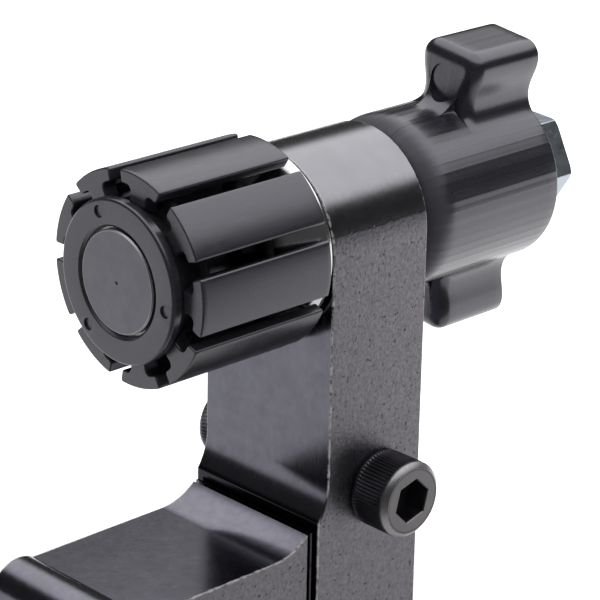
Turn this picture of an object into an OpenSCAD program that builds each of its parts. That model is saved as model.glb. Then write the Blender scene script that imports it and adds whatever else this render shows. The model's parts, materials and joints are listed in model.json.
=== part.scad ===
// Ring clamp: a bench fixture that holds a finger ring from the inside.
// Nine jaws ride on two facing cones. The wing knob draws the cones together and spreads the jaws.
// The arm that carries the collet tilts forward on two cap screws in the base's tongue.
// Millimetres, +Z up, collet towards -Y. The origin is midway between the base bolts, on the mounting face.

/* [Base] */
// Reach of the base in front of the arm's face
base_front = 24.9; // [22:0.1:30]
// Reach of the heel plate behind the arm's face
heel_back = 18; // [15.5:0.1:24]
// Thickness of the heel plate under the arm
heel_t = 5; // [4:0.1:6]
// Height of the shelf above the mounting face
shelf_h = 19.5; // [18.5:0.1:20.5]
// Height of the front lip above the shelf
lip_h = 0.45; // [0.2:0.05:1]
// Radius of the rounded front lip
lip_r = 2.9; // [2.5:0.1:4]
// How far each side of the base lies inside the arm's side
base_inset = 0.45; // [0.1:0.05:1.2]
// Width of the slit between the arm's toe and the base
slit_w = 0.25; // [0.2:0.05:0.8]
// Thickness of the leaf that a saw cut leaves at the back of the base
leaf_t = 0.25; // [0.2:0.05:0.6]
// Width of the saw cut in front of the leaf
leaf_cut_w = 0.35; // [0.25:0.05:0.8]
// Height of the saw cut's floor above the mounting face
leaf_floor = 8; // [6.5:0.5:14]
// Height of the leaf's top above the shelf
leaf_h = 1.5; // [0.5:0.1:1.8]
// Distance between the two base bolts
bolt_spacing = 24; // [23:0.5:26]
// Radius of the tapped base bolt holes
bolt_hole_r = 2.1; // [1.5:0.05:2.2]
// Depth of the front base bolt hole
bolt_hole_depth = 10; // [6:0.5:14]

/* [Arm] */
// Width of the arm
arm_w = 15.8; // [15.5:0.1:19]
// Thickness of the arm
arm_t = 11.3; // [10.8:0.1:13]
// Height of the collet's axis above the mounting face
axis_h = 46; // [45:0.1:50]
// Drop from the collet's axis to the tilt pivot
pivot_drop = 22.6; // [21:0.1:23]
// Distance of the tilt pivot behind the arm's middle
pivot_back = 0.45; // [0:0.05:0.6]
// Reach of the arm's toe in front of its face
toe_reach = 1.1; // [0.9:0.1:2]
// Radius of the inside corner between arm and shelf
corner_r = 5.8; // [4.2:0.1:6.5]
// Thickness of the tongue that the arm straddles
tongue_t = 6; // [5:0.1:7]
// Width of the tongue, seen from the side
tongue_w = 7.2; // [6.5:0.1:7.6]
// Furthest forward tilt of the arm, in degrees
tilt_max = 30; // [10:1:32]

/* [Pivot screws] */
// Radius of the screw shank
screw_r = 2.08; // [1.7:0.02:2.4]
// Radius of the screw head
head_r = 3.5; // [3.1:0.05:4]
// Height of the screw head
head_h = 4.2; // [3.5:0.1:5]
// Chamfer on the rim of the head
head_chamfer = 0.35; // [0.2:0.05:0.6]
// Width of the hex socket across its flats
socket_af = 3.5; // [3:0.05:3.8]
// Depth of the hex socket
socket_depth = 2.2; // [1.5:0.1:2.6]

/* [Jaws] */
// Number of jaws
jaw_count = 9; // [8:1:9]
// Outer radius of the closed collet
jaw_r = 9.35; // [9.1:0.05:10]
// Length of the jaws
jaw_len = 14.3; // [13.5:0.1:17]
// Gap between neighbouring pads
slot_w = 1.4; // [1.1:0.05:2]
// Thickness of the pads
pad_t = 1.15; // [0.9:0.05:1.3]
// Thickness of the webs under the pads
web_t = 1.9; // [1.6:0.05:2.9]
// Radius of the webs' inner edge between the cones
web_inner_r = 5.38; // [5.2:0.02:5.6]
// Half angle of both cones, in degrees
cone_angle = 30; // [26:0.5:32]
// Gap between the jaws' ends and the rear cone's rim
flange_gap = 0.65; // [0.6:0.05:1]

/* [Tension rings] */
// Radius of the rubber ring's section
ring_section_r = 0.42; // [0.3:0.02:0.46]
// Distance from the jaw's end to the ring
ring_inset = 2.1; // [1.9:0.1:2.6]
// Axial width of the ring's window in the web
ring_window_w = 1.5; // [1.2:0.1:1.8]
// Depth of the ring's window below the pad
ring_window_h = 1.65; // [1.55:0.05:1.8]

/* [Cones] */
// Radius of the front hub
hub_r = 7.07; // [6.9:0.01:7.3]
// Length of the hub's straight rim
hub_rim = 0.87; // [0.6:0.01:1.1]
// Distance the hub stands proud of the jaws
hub_proud = 1.14; // [0.9:0.02:1.4]
// Radius at the small end of both cones
cone_tip_r = 4.6; // [4.5:0.05:4.9]
// Radius of the rim at the rear cone's large end
flange_r = 8.2; // [7.8:0.05:8.4]
// Distance from the rear cone's large end to the arm's face
flange_t = 1; // [0.8:0.05:1.5]
// Width of the relief between that rim and the arm
relief_w = 0.45; // [0.2:0.05:0.6]
// Radius of the rear cone in the relief
relief_r = 7.2; // [6:0.05:7.5]
// Radius of the rear cone's sleeve in the arm
sleeve_r = 5; // [4.8:0.05:5.6]
// Length of the rear cone's sleeve
sleeve_len = 7; // [5:0.1:8]

/* [Draw plug] */
// Radius of the plug's face
plug_r = 4.64; // [4.4:0.02:4.8]
// Thickness of the plug's face disc
plug_head_t = 3; // [2:0.1:3.4]
// Chamfer on the rim of the plug
plug_chamfer = 0.25; // [0.1:0.05:0.4]
// Radius of the plug's guide shank
shank_r = 3.35; // [3.2:0.05:3.5]
// Reach of the shank behind the arm's face
shank_reach = 1.5; // [0.5:0.1:3]
// Width of the guide key
key_w = 1.5; // [1.2:0.1:2]
// Length of the guide key
key_len = 3.5; // [2.5:0.1:4.5]
// Height of the guide key above the shank
key_h = 0.8; // [0.5:0.05:0.9]

/* [Draw bolt] */
// Radius of the draw bolt
bolt_r = 2.4; // [2:0.05:2.5]
// Reach of the draw bolt in front of the arm's face
bolt_reach = 10; // [7:0.1:11]
// Draw travel each way from rest
draw_travel = 1.06; // [0.8:0.02:1.06]
// Width of the bolt's head across its flats
bolt_af = 9; // [8:0.1:10]
// Height of the bolt's head
bolt_head_h = 4.3; // [3.5:0.1:5]
// Width of the bevel at the corners of the bolt's head
bolt_bevel = 0.4; // [0.2:0.05:0.9]
// Slope of that bevel, in degrees
bolt_bevel_angle = 30; // [15:1:45]
// Radius of the washer under the bolt's head
washer_r = 5.4; // [5:0.1:6.5]
// Thickness of the washer under the bolt's head
washer_t = 1; // [0.6:0.1:1.4]
// Width of the lock nut across its flats
nut_af = 8; // [7.5:0.1:9]
// Height of the lock nut
nut_h = 4; // [3:0.1:5]
// Radius of the thrust washer
thrust_r = 6; // [5.4:0.1:6.6]
// Thickness of the thrust washer
thrust_t = 0.5; // [0.4:0.05:0.8]

/* [Wing knob] */
// Distance the knob's barrel stands out past the arm's round head
knob_overhang = 0.1; // [0:0.05:1]
// Length of the knob
knob_len = 16.4; // [15:0.1:19]
// Length of the rounded front shoulder
shoulder_len = 3; // [2:0.1:3.4]
// Drop from the barrel to the knob's front face
shoulder_drop = 1.1; // [0.5:0.1:1.2]
// Reach of the wings beyond the barrel
wing_reach = 5.6; // [4.6:0.1:7]
// Length of the wings along the barrel
wing_len = 8.4; // [7:0.1:9.5]
// Width of the wings at their thickest
wing_w = 7; // [6.4:0.1:7.8]
// Width of the wings' necks
neck_w = 5.8; // [5:0.1:6.2]
// Radius of the rounded wing tips
wing_edge_r = 1.6; // [1:0.1:1.9]
// Turn of the wing tips' rounding below level, in degrees
wing_undercut = 20; // [10:1:30]
// Length of the cove in front of the wings
cove_r = 2.6; // [1.5:0.1:3.2]
// Lean of the wings from upright, in degrees
wing_lean = 7; // [0:1:45]

/* [Clearances] */
// Radial clearance of turning and sliding fits
run_gap = 0.05; // [0.03:0.01:0.08]
// Clearance of fits that stay put
seat_gap = 0.02; // [0.01:0.01:0.04]
// Clearance between the jaws and the cones
cone_gap = 0.08; // [0.05:0.01:0.12]
// Side clearance of the tongue in the arm
tongue_gap = 0.1; // [0.05:0.01:0.2]
// Clearance round the tongue where the arm swings
swing_gap = 0.3; // [0.2:0.02:0.4]
// Clearance between the arm's lowest corner and the heel plate
heel_gap = 0.5; // [0.3:0.05:0.8]
// End clearance of bolts and sleeves in blind holes
end_gap = 0.3; // [0.2:0.05:0.5]

/* [Hidden] */
$fn = 96;
eps = 0.5;
arc_steps = 14;

pivot_y = arm_t / 2 + pivot_back;
pivot_z = axis_h - pivot_drop;
toe_swing = pivot_z - heel_t - heel_gap;
arm_bottom = pivot_z - sqrt(pow(toe_swing, 2) - pow(pivot_y + toe_reach, 2));
base_rear = -toe_reach - slit_w;
base_w = arm_w - 2 * base_inset;
corner_z = shelf_h + corner_r;
tongue_r = tongue_w / 2;
swing_r = tongue_r + swing_gap;
slot_t = tongue_t + 2 * tongue_gap;

slope = tan(cone_angle);
jaw_back = -flange_t - flange_gap;
jaw_front = jaw_back - jaw_len;
jaw_pitch = 360 / jaw_count;
pad_inner_r = jaw_r - pad_t;
hub_face = jaw_front - hub_proud;
hub_back = hub_face + hub_rim;
front_tip = hub_back + (hub_r - cone_tip_r) / slope;
rear_tip = -flange_t - (flange_r - cone_tip_r) / slope;
cone_lift = cone_gap / cos(cone_angle);
ring_window_r = pad_inner_r - ring_window_h;
ring_mid_r = pad_inner_r - ring_window_h / 2;
ring_ys = [jaw_front + ring_inset, jaw_back - ring_inset - 2 * ring_window_w];

guide_r = shank_r + run_gap;
plug_step = hub_face + plug_head_t;
plug_hole_end = -bolt_reach - draw_travel - end_gap;
key_front = -flange_t - key_len / 2;
sleeve_stop = sleeve_len + end_gap;

knob_r = arm_w / 2 + knob_overhang;
knob_face_r = knob_r - shoulder_drop;
wing_r = knob_r + wing_reach;
thrust_back = arm_t + thrust_t;
knob_front = thrust_back + run_gap;
knob_back = knob_front + knob_len;
wing_front = knob_back - wing_len;
bolt_seat = knob_back + washer_t;
nut_front = knob_front + run_gap;
nut_pocket = nut_h + 2 * run_gap;

jaw_names = [for (i = [1 : jaw_count]) str("jaw_", i)];

function arc(c, r, from, to) =
    [for (i = [0 : arc_steps]) let(a = from + (to - from) * i / arc_steps) c + r * [cos(a), sin(a)]];

function flip(points) = [for (p = points) [-p[0], p[1]]];

function reversed(points) = [for (i = [len(points) - 1 : -1 : 0]) points[i]];

// Turns a list of [radius, y] points about the collet's axis.
module turned(points) {
    translate([0, 0, axis_h]) rotate([-90, 0, 0]) rotate_extrude() polygon(points);
}

// A cylinder on the collet's axis from one y to another.
module rod(r, from, to) {
    translate([0, from, axis_h]) rotate([-90, 0, 0]) cylinder(r = r, h = to - from);
}

// A hexagonal bar on the collet's axis from one y to another, with a corner towards +X.
module hex_bar(af, from, to) {
    translate([0, from, axis_h]) rotate([-90, 0, 0]) cylinder(d = af / cos(30), h = to - from, $fn = 6);
}

// A side outline of [y, z] points, as thick as given across the middle plane.
module slab(points, thickness) {
    translate([-thickness / 2, 0, 0]) rotate([90, 0, 90]) linear_extrude(thickness) polygon(points);
}

// A cylinder on the tilt axis from one x to another.
module pivot_rod(r, from, to) {
    translate([from, pivot_y, pivot_z]) rotate([0, 90, 0]) cylinder(r = r, h = to - from);
}

// Corner arc between two y places in front of the arm's face, from the upper end down.
function corner_arc(from, to) =
    arc([-corner_r, corner_z], corner_r, -acos(1 + from / corner_r), -acos(1 + to / corner_r));

module base_block() {
    lip_y = lip_r - base_front;
    lip_z = shelf_h + lip_h - lip_r;
    leaf_front = base_rear - leaf_t;
    leaf_top = shelf_h + leaf_h;
    outline = concat(
        [[heel_back, 0], [heel_back, heel_t], [base_rear, heel_t]],
        corner_arc(base_rear, -corner_r),
        arc([lip_y, lip_z], lip_r, asin((lip_r - lip_h) / lip_r), 180),
        [[-base_front, 0]]);
    color("#26272b") difference() {
        union() {
            slab(outline, base_w);
            slab([[pivot_y - tongue_r, heel_t - eps], [pivot_y + tongue_r, heel_t - eps],
                  [pivot_y + tongue_r, pivot_z], [pivot_y - tongue_r, pivot_z]], tongue_t);
            pivot_rod(tongue_r, -tongue_t / 2, tongue_t / 2);
        }
        slab([[leaf_front - leaf_cut_w, leaf_floor], [leaf_front, leaf_floor], [leaf_front, leaf_top],
              [base_rear + eps, leaf_top], [base_rear + eps, corner_z], [leaf_front - leaf_cut_w, corner_z]],
             base_w + eps);
        pivot_rod(screw_r + seat_gap, -tongue_t, tongue_t);
        translate([0, -bolt_spacing / 2, -eps]) cylinder(r = bolt_hole_r, h = bolt_hole_depth + eps);
        translate([0, bolt_spacing / 2, -eps]) cylinder(r = bolt_hole_r, h = heel_t + 2 * eps);
    }
}

// Room in the arm for the tongue at every tilt.
module tongue_room() {
    drop = pivot_z - arm_bottom + eps;
    slab(concat(arc([pivot_y, pivot_z], swing_r, 0, 180 - tilt_max),
                [[pivot_y - swing_r / cos(tilt_max) - drop * tan(tilt_max), pivot_z - drop],
                 [pivot_y + swing_r, pivot_z - drop]]), slot_t);
}

module arm() {
    toe = concat([[eps, arm_bottom], [eps, corner_z]], corner_arc(0, -toe_reach), [[-toe_reach, arm_bottom]]);
    color("#2b2c30") difference() {
        union() {
            translate([0, arm_t, 0]) rotate([90, 0, 0]) linear_extrude(arm_t) {
                translate([0, axis_h]) circle(d = arm_w);
                translate([-arm_w / 2, arm_bottom]) square([arm_w, axis_h - arm_bottom]);
            }
            slab(toe, arm_w);
        }
        tongue_room();
        pivot_rod(screw_r + run_gap, -arm_w, arm_w);
        rod(sleeve_r + seat_gap, -eps, sleeve_stop);
        rod(bolt_r + run_gap, 0, arm_t + eps);
    }
}

// A socket head cap screw that enters the arm's cheek from the +X side.
module cap_screw() {
    under_head = arm_w / 2 + run_gap;
    face = under_head + head_h;
    difference() {
        union() {
            pivot_rod(screw_r, run_gap, under_head + eps);
            pivot_rod(head_r, under_head, face - head_chamfer);
            translate([face - head_chamfer, pivot_y, pivot_z]) rotate([0, 90, 0])
                cylinder(r1 = head_r, r2 = head_r - head_chamfer, h = head_chamfer);
        }
        translate([face - socket_depth, pivot_y, pivot_z]) rotate([0, 90, 0])
            cylinder(d = socket_af / cos(30), h = socket_depth + eps, $fn = 6);
    }
}

module right_pivot_screw() {
    color("#38363a") cap_screw();
}

module left_pivot_screw() {
    color("#38363a") mirror([1, 0, 0]) cap_screw();
}

module rear_cone() {
    color("#cfd0d2") difference() {
        turned([[guide_r, rear_tip], [cone_tip_r, rear_tip], [flange_r, -flange_t], [flange_r, -relief_w],
                [relief_r, -relief_w], [relief_r, 0], [sleeve_r, 0], [sleeve_r, sleeve_len],
                [guide_r, sleeve_len]]);
        key_bar(key_w / 2 + run_gap, key_h + run_gap, rear_tip - eps, sleeve_len + eps);
    }
}

// A square bar along the top of the guide shank.
module key_bar(half_w, height, from, to) {
    translate([-half_w, from, axis_h]) cube([2 * half_w, to - from, shank_r + height]);
}

// The key's height, from its bed in the shank to its top.
module key_stock(gap) {
    bed = (shank_r + bolt_r) / 2;
    intersection() {
        key_bar(key_w / 2 + gap, key_h, key_front - gap, key_front + key_len + gap);
        translate([-key_w, key_front - eps, axis_h + bed - gap]) cube([2 * key_w, key_len + 2 * eps, jaw_r]);
    }
}

module guide_key() {
    color("#8f9195") key_stock(0);
}

module taper_plug() {
    color("#86888c") difference() {
        turned([[0, hub_face], [plug_r - plug_chamfer, hub_face], [plug_r, hub_face + plug_chamfer],
                [plug_r, plug_step], [shank_r, plug_step], [shank_r, shank_reach], [0, shank_reach]]);
        rod(bolt_r + run_gap, plug_hole_end, shank_reach + eps);
        key_stock(seat_gap);
    }
}

module front_cone() {
    seat_r = plug_r + seat_gap;
    collar_r = shank_r + seat_gap;
    color("#3a3a3f") turned([
        [seat_r + plug_chamfer, hub_face], [hub_r, hub_face], [hub_r, hub_back],
        [cone_tip_r, front_tip], [collar_r, front_tip], [collar_r, plug_step],
        [seat_r, plug_step], [seat_r, hub_face + plug_chamfer]]);
}

module tension_ring(y) {
    translate([0, y, axis_h]) rotate([-90, 0, 0])
        rotate_extrude() translate([ring_mid_r, 0]) circle(r = ring_section_r, $fn = 24);
}

module front_o_ring() {
    color("#1c1c1f") tension_ring(ring_ys[0]);
}

module rear_o_ring() {
    color("#1c1c1f") tension_ring(ring_ys[1]);
}

// Both cones grown by the jaw clearance, as one turned cutter.
module cone_cutter() {
    front_r = hub_r + cone_lift - (jaw_front - eps - hub_back) * slope;
    rear_r = flange_r + cone_lift + (jaw_back + eps + flange_t) * slope;
    front_flat = hub_back + (hub_r + cone_lift - web_inner_r) / slope;
    rear_flat = -flange_t - (flange_r + cone_lift - web_inner_r) / slope;
    turned([[0, jaw_front - eps], [front_r, jaw_front - eps], [web_inner_r, front_flat],
            [web_inner_r, rear_flat], [rear_r, jaw_back + eps], [0, jaw_back + eps]]);
}

// One jaw, centred on the direction turned from +X towards +Z.
module jaw(turn) {
    apex = slot_w / 2 / sin(jaw_pitch / 2);
    side = 2 * jaw_r;
    color("#3c3d42") translate([0, 0, axis_h]) rotate([0, -turn, 0]) translate([0, 0, -axis_h]) difference() {
        union() {
            intersection() {
                turned([[pad_inner_r, jaw_front], [jaw_r, jaw_front],
                        [jaw_r, jaw_back], [pad_inner_r, jaw_back]]);
                translate([apex, jaw_back + eps, axis_h]) rotate([90, 0, 0]) linear_extrude(jaw_len + 2 * eps)
                    polygon([[0, 0], side * [cos(jaw_pitch / 2), sin(jaw_pitch / 2)],
                             side * [cos(jaw_pitch / 2), -sin(jaw_pitch / 2)]]);
            }
            translate([0, jaw_front, axis_h - web_t / 2]) cube([jaw_r - pad_t / 2, jaw_len, web_t]);
        }
        cone_cutter();
        for (y = ring_ys)
            turned([[ring_window_r, y - ring_window_w / 2], [pad_inner_r, y - ring_window_w / 2],
                    [pad_inner_r, y + ring_window_w / 2], [ring_window_r, y + ring_window_w / 2]]);
    }
}

module draw_bolt() {
    bolt_end = bolt_seat + bolt_head_h;
    face_r = bolt_af / 2 / cos(30) - bolt_bevel;
    bevel_start = bolt_end - (bolt_af - face_r) * tan(bolt_bevel_angle);
    color("#c3ccd8") {
        rod(bolt_r, -bolt_reach, bolt_seat + eps);
        intersection() {
            hex_bar(bolt_af, bolt_seat, bolt_end);
            turned([[0, bolt_seat - eps], [bolt_af, bolt_seat - eps], [bolt_af, bevel_start],
                    [face_r, bolt_end], [0, bolt_end]]);
        }
    }
}

module washer(r, from, to) {
    difference() {
        rod(r, from, to);
        rod(bolt_r + run_gap, from - eps, to + eps);
    }
}

module bolt_washer() {
    color("#b9bdc4") washer(washer_r, knob_back, bolt_seat);
}

module thrust_washer() {
    color("#a9a9ac") washer(thrust_r, arm_t, thrust_back);
}

module lock_nut() {
    color("#b9bdc4") difference() {
        hex_bar(nut_af, nut_front, nut_front + nut_h);
        rod(bolt_r + seat_gap, nut_front - eps, nut_front + nut_h + eps);
    }
}

// Half of a wing's outline from its root to the middle of its tip, as [x, r] points.
function wing_half() = concat(
    [[neck_w / 2, 0], [neck_w / 2, knob_r]],
    arc([wing_w / 2 - wing_edge_r, wing_r - wing_edge_r], wing_edge_r,
        -wing_undercut, 90 - wing_undercut / 2));

// Both wings and the coves in front of them, upright.
module wings() {
    half = wing_half();
    outline = concat(half, reversed(flip(half)));
    cove_top = knob_r + cove_r - (knob_r - sqrt(pow(knob_r, 2) - pow(neck_w / 2, 2)));
    cove = concat([[wing_front + eps, 0], [wing_front + eps, cove_top]],
                  reversed(arc([wing_front - cove_r, cove_top], cove_r, -90, 0)), [[wing_front - cove_r, 0]]);
    for (side = [0, 180])
        translate([0, 0, axis_h]) rotate([0, side, 0]) {
            translate([0, knob_back, 0]) rotate([90, 0, 0]) linear_extrude(wing_len) polygon(outline);
            slab(cove, neck_w);
        }
}

module wing_knob() {
    shoulder = [for (i = [0 : arc_steps]) let(a = 90 * i / arc_steps)
        [knob_face_r + (knob_r - knob_face_r) * sin(a), knob_front + shoulder_len * (1 - cos(a))]];
    color("#1d1d21") difference() {
        union() {
            turned(concat([[0, knob_front]], shoulder, [[knob_r, knob_back], [0, knob_back]]));
            translate([0, 0, axis_h]) rotate([0, wing_lean, 0]) translate([0, 0, -axis_h]) wings();
        }
        rod(bolt_r + run_gap, knob_front - eps, knob_back + eps);
        hex_bar(nut_af + 2 * run_gap, knob_front - eps, nut_front + nut_pocket);
    }
}

base_block();
arm();
right_pivot_screw();
left_pivot_screw();
rear_cone();
guide_key();
taper_plug();
front_cone();
front_o_ring();
rear_o_ring();
draw_bolt();
bolt_washer();
lock_nut();
wing_knob();
thrust_washer();
for (i = [1 : jaw_count])
    jaw((i - 1) * jaw_pitch);
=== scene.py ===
import json
from math import cos, pi, radians, sin, tan

import bmesh
import bpy
import numpy as np
from mathutils import Matrix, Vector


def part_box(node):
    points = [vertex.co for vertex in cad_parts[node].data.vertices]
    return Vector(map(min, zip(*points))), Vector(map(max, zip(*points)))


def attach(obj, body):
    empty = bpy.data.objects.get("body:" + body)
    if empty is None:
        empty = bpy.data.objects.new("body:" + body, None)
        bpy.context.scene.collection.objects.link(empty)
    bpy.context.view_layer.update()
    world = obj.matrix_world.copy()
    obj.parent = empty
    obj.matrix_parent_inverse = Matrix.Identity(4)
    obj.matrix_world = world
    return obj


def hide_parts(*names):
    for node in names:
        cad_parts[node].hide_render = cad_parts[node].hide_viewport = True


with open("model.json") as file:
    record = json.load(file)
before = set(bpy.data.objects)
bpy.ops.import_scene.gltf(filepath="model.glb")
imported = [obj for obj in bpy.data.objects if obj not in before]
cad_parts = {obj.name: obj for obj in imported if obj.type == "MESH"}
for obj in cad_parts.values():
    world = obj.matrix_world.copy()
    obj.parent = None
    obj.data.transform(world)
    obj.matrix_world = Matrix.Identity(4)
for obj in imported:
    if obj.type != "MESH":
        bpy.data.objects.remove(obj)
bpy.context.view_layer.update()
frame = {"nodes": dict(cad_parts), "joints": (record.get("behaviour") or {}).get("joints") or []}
scene = bpy.context.scene
mm = 0.001
tiny = 1e-9  # the least length that is divided by


def span(node):  # a CAD node's lowest and highest corner, in mm
    low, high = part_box(node)
    return np.array(low) / mm, np.array(high) / mm


# What the frame says: the arm's block sizes, the collet's axis and the tilt pivot
armLow, armHigh = span("arm")
halfWidth = armHigh[0]
axisZ = armHigh[2] - halfWidth
tilt = [j for j in frame["joints"] if j["name"] == "arm_tilt"][0]
pivot = np.array(tilt["pos_m"]) / mm
tiltMost = radians(tilt["range_deg"][1])

# The concave corner that the arm and the base share
corner = {"radius": 5.8, "shelf": 19.5}
cornerZ = corner["shelf"] + corner["radius"]
print("frame read: axis height", round(axisZ, 2), "half width", round(halfWidth, 2))


# Mesh tools

def arc(centre, radius, start, stop, steps=20):  # points on a circle, angles in degrees
    turn = np.radians(np.linspace(start, stop, steps + 1))
    return np.stack([centre[0] + radius * np.cos(turn), centre[1] + radius * np.sin(turn)], 1)


def circle(centre, radius, sides=48):  # a whole circle, as a closed outline
    return arc(centre, radius, 0, 360 - 360 / sides, sides - 1)


def filletLoop(points, radii, steps=5):
    # every corner of a closed outline becomes an arc that touches both its sides
    p = np.asarray(points, float)
    toLast, toNext = np.roll(p, 1, 0) - p, np.roll(p, -1, 0) - p
    lengthLast = np.linalg.norm(toLast, axis=1, keepdims=True)
    lengthNext = np.linalg.norm(toNext, axis=1, keepdims=True)
    toLast, toNext = toLast / lengthLast, toNext / lengthNext
    half = np.arccos(np.clip((toLast * toNext).sum(1, keepdims=True), -1, 1)) / 2
    reach = np.asarray(radii, float).reshape(-1, 1) / np.tan(half)
    reach = np.minimum(reach, 0.49 * np.minimum(lengthLast, lengthNext))  # never past the middle of a side
    first, last = p + toLast * reach, p + toNext * reach
    middle = toLast + toNext
    middle = middle / np.maximum(np.linalg.norm(middle, axis=1, keepdims=True), tiny)
    centre = p + middle * reach / np.cos(half)
    sweep = np.maximum(pi - 2 * half, 1e-6)[:, None]  # almost nothing where the outline runs straight on
    k = np.linspace(0, 1, steps + 1)[None, :, None]
    fromFirst = np.sin((1 - k) * sweep) * (first - centre)[:, None]
    fromLast = np.sin(k * sweep) * (last - centre)[:, None]
    loop = (centre[:, None] + (fromFirst + fromLast) / np.sin(sweep)).reshape(-1, 2)
    return loop[np.linalg.norm(loop - np.roll(loop, 1, 0), axis=1) > 1e-5]  # sharp corners keep one point


def inwardOf(loop):  # at each point of a closed outline, the unit direction into it: its run turned left
    run = np.roll(loop, -1, 0) - np.roll(loop, 1, 0)
    length = np.maximum(np.linalg.norm(run, axis=1, keepdims=True), tiny)
    return np.stack([-run[:, 1], run[:, 0]], 1) / length


def surface(name, grid, ringed=False):
    # quads over a grid of points in mm, whose rows close on themselves
    # the first and the last row are capped, or joined to each other when ringed
    rows, columns, _ = grid.shape
    index = np.arange(rows * columns).reshape(rows, columns)
    here, there = (index, np.roll(index, -1, 0)) if ringed else (index[:-1], index[1:])
    quads = np.stack([here, np.roll(here, -1, 1), np.roll(there, -1, 1), there], -1).reshape(-1, 4)
    faces = quads.tolist()
    if not ringed:
        faces += [index[0, ::-1].tolist(), index[-1].tolist()]
    mesh = bpy.data.meshes.new(name)
    mesh.from_pydata((grid.reshape(-1, 3) * mm).tolist(), [], faces)
    edit = bmesh.new()
    edit.from_mesh(mesh)
    bmesh.ops.remove_doubles(edit, verts=edit.verts, dist=1e-7)
    bmesh.ops.dissolve_degenerate(edit, edges=edit.edges, dist=1e-8)
    bmesh.ops.recalc_face_normals(edit, faces=edit.faces)
    edit.to_mesh(mesh)
    edit.free()
    made = bpy.data.objects.new(name, mesh)
    scene.collection.objects.link(made)
    return made


def prism(name, outline, axis, start, stop):
    # an outline carried straight along x, y or z; it is given in the other two directions, in that order
    column = "xyz".index(axis)
    flat = np.delete(np.arange(3), column)
    grid = np.zeros((2, len(outline), 3))
    grid[:, :, flat] = outline
    grid[:, :, column] = np.array([start, stop])[:, None]
    return surface(name, grid)


def lathe(name, profile, turns=144):
    # a closed profile of (radius, y) points carried round the collet's axis
    turn = np.linspace(0, 2 * pi, turns, endpoint=False)
    r, y = np.asarray(profile, float).T[:, :, None]
    grid = np.stack([r * np.sin(turn), y + 0 * turn, axisZ + r * np.cos(turn)], -1)
    return surface(name, grid, ringed=True)


def applied(piece):  # the piece with its modifiers worked into its mesh
    graph = bpy.context.evaluated_depsgraph_get()
    piece.data = bpy.data.meshes.new_from_object(piece.evaluated_get(graph))
    piece.modifiers.clear()
    return piece


def combine(piece, tool, how):  # Boolean with a tool piece that is then thrown away
    work = piece.modifiers.new(how, "BOOLEAN")
    work.operation, work.solver, work.object = how, "EXACT", tool
    applied(piece)
    bpy.data.objects.remove(tool)


def cut(piece, tool):
    combine(piece, tool, "DIFFERENCE")


def soften(piece, width, steps=3, limit=30):  # worn, slightly rounded edges with flat faces kept flat
    bevel = piece.modifiers.new("edges", "BEVEL")
    bevel.width, bevel.segments, bevel.limit_method = width * mm, steps, "ANGLE"
    bevel.angle_limit = radians(limit)
    applied(piece)


def shadeFlatAndRound(piece, limit=40):  # smooth shading that keeps sharp edges and flat faces
    sides = np.zeros(len(piece.data.polygons), np.int32)
    piece.data.polygons.foreach_get("loop_total", sides)
    piece.data.polygons.foreach_set("use_smooth", sides <= 4)  # a face of more sides is a flat one
    piece.data.set_sharp_from_angle(angle=radians(limit))
    weighted = piece.modifiers.new("normals", "WEIGHTED_NORMAL")
    weighted.keep_sharp = True
    return applied(piece)


def place(piece, finish, body, slotName, *nodes):  # finish, body and the CAD nodes it stands for
    piece.data.materials.clear()
    piece.data.materials.append(finish)
    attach(piece, body)
    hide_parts(*nodes)
    print("placed", piece.name, len(piece.data.polygons), "faces")


# Shader tools

class Wire:  # a node's output that takes part in ordinary arithmetic
    def __init__(self, tree, socket):
        self.tree, self.socket = tree, socket

    def node(self, kind, settings, inputs, output=0):
        made = self.tree.nodes.new(kind)
        for key, value in settings.items():
            setattr(made, key, value)
        for key, value in inputs.items():
            if isinstance(value, Wire):
                self.tree.links.new(value.socket, made.inputs[key])
            else:
                made.inputs[key].default_value = value
        return Wire(self.tree, made.outputs[output])

    def math(self, operation, *values):
        return self.node("ShaderNodeMath", {"operation": operation}, dict(enumerate(values)))

    def __add__(self, other):
        return self.math("ADD", self, other)

    __radd__ = __add__

    def __sub__(self, other):
        return self.math("SUBTRACT", self, other)

    def __rsub__(self, other):
        return self.math("SUBTRACT", other, self)

    def __mul__(self, other):
        return self.math("MULTIPLY", self, other)

    __rmul__ = __mul__

    def __truediv__(self, other):
        return self.math("DIVIDE", self, other)

    def __rtruediv__(self, other):
        return self.math("DIVIDE", other, self)

    def __pow__(self, other):
        return self.math("POWER", self, other)

    def __abs__(self):
        return self.math("ABSOLUTE", self)


def highest(a, b):
    return a.math("MAXIMUM", a, b)


def lowest(a, b):
    return a.math("MINIMUM", a, b)


def root(a):
    return a.math("SQRT", highest(a, 0.0))


def fromAxis(x, z):  # distance from the collet's axis
    return root(x * x + (z - axisZ) ** 2)


def rise(a, low, high):  # 0 below low, 1 above high, smooth between; low may be the larger
    sockets = {0: a, 1: low, 2: high, 3: 0.0, 4: 1.0}
    return a.node("ShaderNodeMapRange", {"interpolation_type": "SMOOTHSTEP"}, sockets)


def tint(mask, first, second):  # a colour between two others
    def full(c):
        return c if isinstance(c, Wire) else (*c, 1.0)
    sockets = {0: mask, 6: full(first), 7: full(second)}
    return mask.node("ShaderNodeMix", {"data_type": "RGBA"}, sockets, 2)


def shades(mask, colour, share):  # a colour from a share darker to a share lighter
    return tint(mask, [c * (1 - share) for c in colour], [c * (1 + share) for c in colour])


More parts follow.
